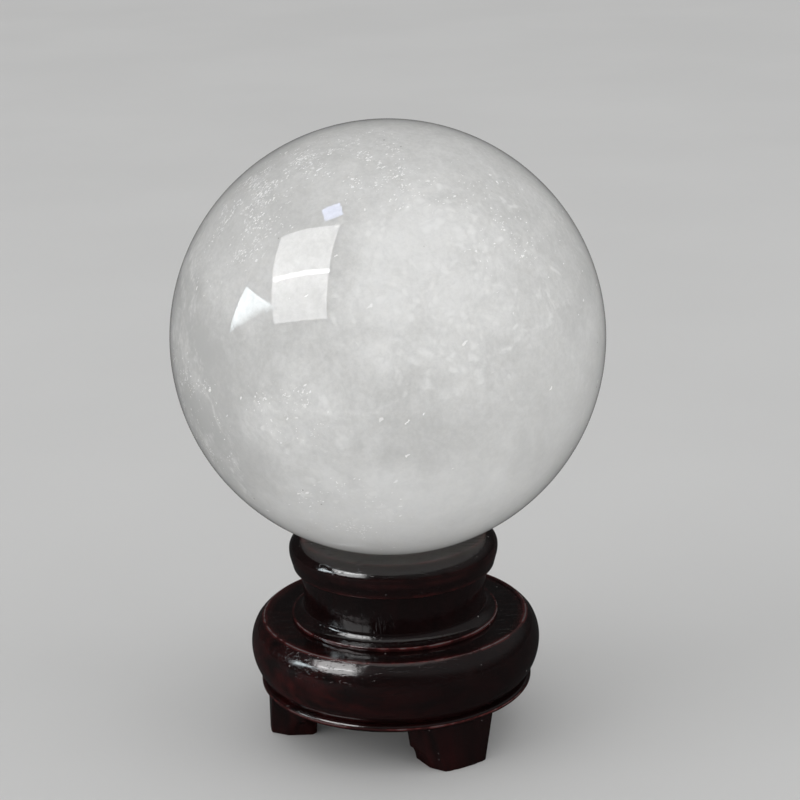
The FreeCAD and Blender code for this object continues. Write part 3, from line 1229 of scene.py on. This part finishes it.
@dataclass
class FootPlate:
    """The thin disc between drum and feet, proud as a rounded lip and countersunk below."""

    feet: FootCircle
    head_radius: float = 0.00365
    head_height: float = 0.0016
    edge_round: float = 0.0008

    def build(self, lathe: Lathe) -> Piece:
        """Return the turned disc, bored for its dowels.

        Args:
            lathe: What turns it.

        Returns:
            The disc.
        """
        low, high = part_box("foot_plate")
        radius = high.x
        corners = [
            Corner(self.head_radius, low.z, ease=0.0001),
            Corner(radius - self.edge_round, low.z, self.edge_round),
            Corner(radius, low.z + self.edge_round, ease=0.00025, rubbing_and_highlight=1.0),
            Corner(radius, high.z - self.edge_round, self.edge_round, ease=0.00025, rubbing_and_highlight=1.8),
            Corner(radius - self.edge_round, high.z, joint=True),
            Corner(SCREW_HOLE_RADIUS, high.z, joint=True),
            Corner(SCREW_HOLE_RADIUS, low.z + self.head_height, joint=True),
        ]
        nicks = [
            Nick(-151.0, radius, high.z, 0.00035, 0.0016),
            Nick(-155.0, radius, low.z, 0.00030, 0.0014),
            Nick(-96.0, radius, high.z, 0.00015, 0.0012),
            Nick(-20.0, radius, high.z, 0.00020, 0.0016),
            Nick(110.0, radius, low.z, 0.00025, 0.0018),
        ]
        plate = lathe.turn("turned_plate", TurnedSection(corners), nicks)
        return bored(plate, self.feet.holes(low.z - self.edge_round, high.z + self.edge_round))


@dataclass
class BracketFoot:
    """A carved bracket foot: a toe on the outer circle and two wings with a scroll cut into each."""

    place: str
    angle: float
    outer_radius: float = 0.0340
    toe_low: float = 0.0060
    toe_top: float = 0.0089
    wing_tip: float = 0.0245
    wing_low: float = 0.0106
    wing_top: float = 0.0124
    back: float = 0.0215
    back_half_width: float = 0.0070
    scroll_centre: float = 0.0143
    scroll_round: float = 0.0060
    toe_points: int = 12
    carving_step: float = 0.00028
    sanding: int = 3
    worn_from: float = 0.10
    worn_to: float = 0.24
    scroll_sides: int = 128
    dowel_depth: float = 0.00705

    def build(self) -> Piece:
        """Return the foot: lofted, cut, then sanded soft at its edges.

        Returns:
            The foot, turned to its place.
        """
        low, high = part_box(f"foot_{self.place}")
        mesh = bmesh.new()
        floor_ring = self._plan(mesh, self.toe_low, self.wing_low, low.z)
        top_ring = self._plan(mesh, self.toe_top, self.wing_top, high.z)
        count = len(floor_ring)
        mesh.faces.new(list(reversed(floor_ring)))
        mesh.faces.new(top_ring)
        for index in range(count):
            after = (index + 1) % count
            mesh.faces.new((floor_ring[index], floor_ring[after], top_ring[after], top_ring[index]))
        foot = bored(placed(f"carved_foot_{self.place}", mesh), self._scrolls(low.z))
        self._sand(foot, low.z, high.z)
        bored(foot, self._dowel_hole(high.z))
        foot.data.transform(Matrix.Rotation(self.angle, 4, "Z"))
        return foot

    def _plan(self, mesh: Mesh, toe: float, wing: float, height: float) -> Ring:
        """Return one level of the foot, counter-clockwise from the toe's right corner.

        Args:
            mesh: The mesh to add to.
            toe: Half the width of the toe.
            wing: Half the width across the wings.
            height: The height of the level.

        Returns:
            Its points.
        """
        sweep = math.asin(toe / self.outer_radius)
        outline = []
        for step in range(self.toe_points + 1):
            turn = sweep * (2 * step / self.toe_points - 1)
            outline.append((math.cos(turn) * self.outer_radius, math.sin(turn) * self.outer_radius))
        outline += [
            (self.wing_tip, wing),
            (self.back, self.back_half_width),
            (self.back, -self.back_half_width),
            (self.wing_tip, -wing),
        ]
        return [mesh.verts.new((x, y, height)) for x, y in outline]

    def _scrolls(self, floor: float) -> Mesh:
        """Return the two rods that cut the scrolls under the wings.

        Args:
            floor: The height that the foot stands on.

        Returns:
            The rods.
        """
        rods = bmesh.new()
        for side in (-1, 1):
            start = Vector((0.0, side * self.scroll_centre, floor))
            end = Vector((self.outer_radius * 1.2, side * self.scroll_centre, floor))
            add_rod(rods, self.scroll_round, start, end, self.scroll_sides)
        return rods

    def _dowel_hole(self, top: float) -> Mesh:
        """Return the rod that cuts the blind hole for the dowel.

        Args:
            top: The height of the foot's top.

        Returns:
            The rod.
        """
        rod = bmesh.new()
        low = Vector((DOWEL_CIRCLE, 0.0, top - self.dowel_depth))
        add_rod(rod, DOWEL_HOLE_RADIUS, low, Vector((DOWEL_CIRCLE, 0.0, top + self.dowel_depth)))
        return rod

    def _sand(self, foot: Piece, floor: float, top: float) -> None:
        """Soften every edge a little, keep the sole and the top flat, and mark the worn edges.

        Args:
            foot: The carved foot.
            floor: The height of its sole.
            top: The height of its top.
        """
        carve = foot.modifiers.new("carve", "REMESH")
        carve.mode = "VOXEL"
        carve.voxel_size = self.carving_step
        sand = foot.modifiers.new("sand", "SMOOTH")
        sand.factor = 0.5
        sand.iterations = self.sanding
        settled(foot)
        mesh = bmesh.new()
        mesh.from_mesh(foot.data)
        wear_and_highlight = mesh.verts.layers.float.new(WEAR_AND_HIGHLIGHT)
        mesh.normal_update()
        for vertex in mesh.verts:
            vertex[wear_and_highlight] = smoothstep(self._roundness(vertex), self.worn_from, self.worn_to)
        for vertex in mesh.verts:
            vertex.co.z = min(max(vertex.co.z, floor), top)
        mesh.to_mesh(foot.data)
        mesh.free()
        foot.data.shade_smooth()

    def _roundness(self, vertex: bmesh.types.BMVert) -> float:
        """Return how much a vertex stands out over its neighbours."""
        steps = [vertex.co - edge.other_vert(vertex).co for edge in vertex.link_edges]
        return sum(vertex.normal.dot(step.normalized()) for step in steps) / max(len(steps), 1)


@dataclass
class TurnedStand:
    """The whole stand: collar, neck, drum, plate and feet, with the dowels and the screw inside."""

    ball: QuartzBall
    lathe: Lathe = field(default_factory=Lathe)
    feet: FootCircle = field(default_factory=FootCircle)

    def build(self) -> None:
        """Build and finish every piece of the stand."""
        across = LacqueredWood(Grain.ACROSS).material()
        upright = LacqueredWood(Grain.UPRIGHT).material()
        wood = Slot.LACQUERED_WOOD
        dress(CupCollar(self.ball).build(self.lathe), across, wood, STAND, "cup_collar")
        dress(Neck().build(self.lathe), upright, wood, STAND, "neck")
        dress(BaseDrum(self.feet).build(self.lathe), across, wood, STAND, "base_drum")
        dress(FootPlate(self.feet).build(self.lathe), across, wood, STAND, "foot_plate")
        for place, angle in zip(self.feet.places, self.feet.angles()):
            dress(BracketFoot(place, angle).build(), upright, wood, STAND, f"foot_{place}")
        self._finish_fastenings()

    def _finish_fastenings(self) -> None:
        """Give the hidden dowels and the screw their own finish; their shapes are the frame's."""
        beech = BareBeech().material()
        for place in self.feet.places:
            self._coat(f"dowel_{place}", beech)
        self._coat("stem_screw", ZincSteel().material())

    def _coat(self, node: str, material: bpy.types.Material) -> None:
        """Put a material on one of the frame's own pieces.

        Args:
            node: The frame's node.
            material: What it is covered with.
        """
        for index in range(len(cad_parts[node].material_slots)):
            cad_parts[node].material_slots[index].material = material
        log.info("%s: finished as %s", node, material.name)


# ---------------------------------------------------------------- the studio


@dataclass(frozen=True)
class SoftBox:
    """A flat soft light, placed by angles from the ball's centre and turned to face a way of its own."""

    name: str
    azimuth: float
    height: float
    distance: float
    width: float
    length: float
    glow: float
    faces: tuple[float, float] | None = None
    turn: float = 0.0
    colour: tuple[float, float, float] = (1.0, 1.0, 1.0)
    seen_in_gloss: bool = True
    lights_surfaces: bool = True

    def hang(self, target: Vector) -> Piece:
        """Hang the light.

        Args:
            target: What it is placed around.

        Returns:
            The light.
        """
        data = bpy.data.lights.new(self.name, "AREA")
        data.shape = "RECTANGLE"
        data.size = self.width
        data.size_y = self.length
        data.energy = self.glow * math.pi * self.width * self.length
        data.color = self.colour
        light = bpy.data.objects.new(self.name, data)
        bpy.context.scene.collection.objects.link(light)
        back = direction(*(self.faces or (self.azimuth, self.height)))
        across = (-back).cross(Vector((0.0, 0.0, 1.0))).normalized()
        upward = back.cross(across)
        axes = Matrix((across, upward, back)).transposed().to_4x4()
        place = Matrix.Translation(target + direction(self.azimuth, self.height) * self.distance)
        light.matrix_world = place @ axes @ Matrix.Rotation(math.radians(self.turn), 4, "Z")
        light.visible_glossy = self.seen_in_gloss
        light.visible_diffuse = self.lights_surfaces
        return light


@dataclass(frozen=True)
class LeafyWindow:
    """A three-cornered bit of bright sky, seen in gloss only, that leaves cover along one side."""

    corners: tuple[tuple[float, float], ...] = ((-87.1, 22.6), (-88.3, 3.5), (-62.0, 21.5))
    open_sky: tuple[float, ...] = (1.0, 0.40, 0.34)
    distance: float = 1.2
    glow: float = 8.0
    colour: Colour = (0.86, 0.96, 1.0, 1.0)

    def hang(self, target: Vector) -> Piece:
        """Hang the bright card.

        Args:
            target: What it is placed around.

        Returns:
            The card.
        """
        mesh = bmesh.new()
        sky = mesh.verts.layers.float.new(SKY)
        ring = []
        for corner, openness in zip(self.corners, self.open_sky):
            vertex = mesh.verts.new(target + direction(*corner) * self.distance)
            vertex[sky] = openness
            ring.append(vertex)
        mesh.faces.new(ring)
        card = placed("leafy_window", mesh)
        card.data.materials.append(self.material())
        card.visible_camera = False
        card.visible_diffuse = False
        card.visible_shadow = False
        return card

    def material(self) -> bpy.types.Material:
        """Return the glow of the sky, broken up by leaves.

        Returns:
            The finished material.
        """
        bench = NodeBench(bpy.data.materials.new("leafy_sky"))
        place = bench.add("ShaderNodeTexCoord").outputs["Object"]
        sky = bench.add("ShaderNodeAttribute", attribute_name=SKY).outputs["Fac"]
        leaves = bench.noise(place, 60.0, 5.0, 0.75).outputs[0]
        shown = bench.fade(bench.maths("ADD", sky, leaves), 0.92, 0.96)
        return bench.finish({
            "Base Color": (0.0, 0.0, 0.0, 1.0),
            "Specular IOR Level": 0.0,
            "Emission Color": self.colour,
            "Emission Strength": bench.maths("MULTIPLY", shown, self.glow),
        })


@dataclass
class Studio:
    """A pale sheet, soft lights and the camera, all placed from the ball."""

    ball: QuartzBall
    camera_distance: float = 10.0
    camera_height: float = 15.7
    camera_roll: float = 1.4
    aim_right: float = 0.00264
    aim_down: float = 0.01591
    lens: float = 97.77
    floor_size: float = 14.0
    floor_squares: int = 60
    floor_curl: float = 0.002
    floor_flat_to: float = 0.5
    floor_curled_from: float = 3.0
    room_glow: float = 0.68
    room_colour: Colour = (1.0, 1.0, 1.0, 1.0)
    mirrored_walls: float = 0.024
    mirrored_ceiling: float = 0.13
    lights: tuple[SoftBox, ...] = (
        SoftBox("window", -60.7, 39.5, 1.2, 0.673, 0.977, 4.6, WINDOW_FACES, WINDOW_TURN,
                lights_surfaces=False),
        SoftBox("window_middle", -59.5, 39.0, 1.18, 0.655, 0.30, 1.2, WINDOW_FACES, WINDOW_TURN,
                lights_surfaces=False),
        SoftBox("window_bar", -59.3, 38.8, 1.16, 0.65, 0.045, 9.0, WINDOW_FACES, WINDOW_TURN,
                lights_surfaces=False),
        SoftBox("skylight", -82.6, 68.5, 1.2, 0.163, 0.163, 7.5, turn=-5.3, colour=(0.60, 0.68, 1.0),
                lights_surfaces=False),
        SoftBox("left_fill", -66.0, 22.0, 3.2, 2.4, 2.2, 1.20, seen_in_gloss=False),
        SoftBox("right_fill", 66.0, 19.0, 3.2, 2.4, 2.0, 1.30, seen_in_gloss=False),
        SoftBox("front_card", 0.0, 3.0, 1.6, 2.2, 0.14, 3.0, seen_in_gloss=False),
    )
    side_window: LeafyWindow = LeafyWindow()

    def build(self) -> None:
        """Lay the floor, hang the lights and set up the camera."""
        self._lay_floor()
        for light in self.lights:
            light.hang(self.ball.centre)
        self.side_window.hang(self.ball.centre)
        self._dim_room()
        self._set_camera()

    def _lay_floor(self) -> None:
        """Lay the sheet under the feet, curling very slightly as paper does."""
        mesh = bmesh.new()
        squares = self.floor_squares
        bmesh.ops.create_grid(mesh, x_segments=squares, y_segments=squares, size=self.floor_size / 2)
        for vertex in mesh.verts:
            away = vertex.co.length
            curl = self.floor_curl * smoothstep(away, self.floor_flat_to, self.floor_curled_from)
            vertex.co.z = -curl * (1 + noise.noise(vertex.co * 2))
        floor = placed("pale_sheet", mesh)
        floor.data.materials.append(MattePaper().material())

    def _dim_room(self) -> None:
        """Fill the room with an even soft light that the gloss mirrors only dimly."""
        world = bpy.data.worlds.new("room")
        bench = NodeBench(world)
        towards = bench.add("ShaderNodeTexCoord").outputs["Generated"]
        overhead = bench.dot(towards, Vector((0.35, 0.0, 0.94)))
        mirrored = bench.fade(overhead, 0.35, 0.75, self.mirrored_walls, self.mirrored_ceiling)
        rays = bench.add("ShaderNodeLightPath").outputs["Is Glossy Ray"]
        glow = bench.add("ShaderNodeMix", {0: rays, 2: self.room_glow, 3: mirrored}).outputs[0]
        inputs = {"Color": self.room_colour, "Strength": glow}
        light = bench.add("ShaderNodeBackground", inputs).outputs[0]
        bench.add("ShaderNodeOutputWorld", {"Surface": light})
        bpy.context.scene.world = world
        bpy.context.scene.view_settings.view_transform = "Standard"

    def _set_camera(self) -> None:
        """Set the camera in front of the ball, a little above it, aimed beside and below its centre."""
        back = direction(0.0, self.camera_height)
        right = Vector((1.0, 0.0, 0.0))
        upward = back.cross(right)
        eye = self.ball.centre + back * (self.ball.radius * self.camera_distance)
        aim = self.ball.centre + right * self.aim_right - upward * self.aim_down
        data = bpy.data.cameras.new("camera")
        data.lens = self.lens
        data.clip_start = 0.01
        camera = bpy.data.objects.new("camera", data)
        bpy.context.scene.collection.objects.link(camera)
        look = (aim - eye).to_track_quat("-Z", "Y").to_matrix().to_4x4()
        roll = Matrix.Rotation(-math.radians(self.camera_roll), 4, "Z")
        camera.matrix_world = Matrix.Translation(eye) @ look @ roll
        bpy.context.scene.camera = camera


def reported(name: str, work: Callable[[], object]) -> object:
    """Do one step of the work and report it.

    Args:
        name: What the step makes.
        work: The step.

    Returns:
        What the step gives back.
    """
    result = work()
    log.info("%s done", name)
    return result


def main() -> None:
    """Build the ball, the stand and the studio, in that order."""
    logging.basicConfig(level=logging.INFO, format="%(message)s")
    ball = QuartzBall()
    ball.dress(reported("ball", ball.build))
    reported("stand", TurnedStand(ball).build)
    reported("studio", Studio(ball).build)


if __name__ == "__main__":
    main()
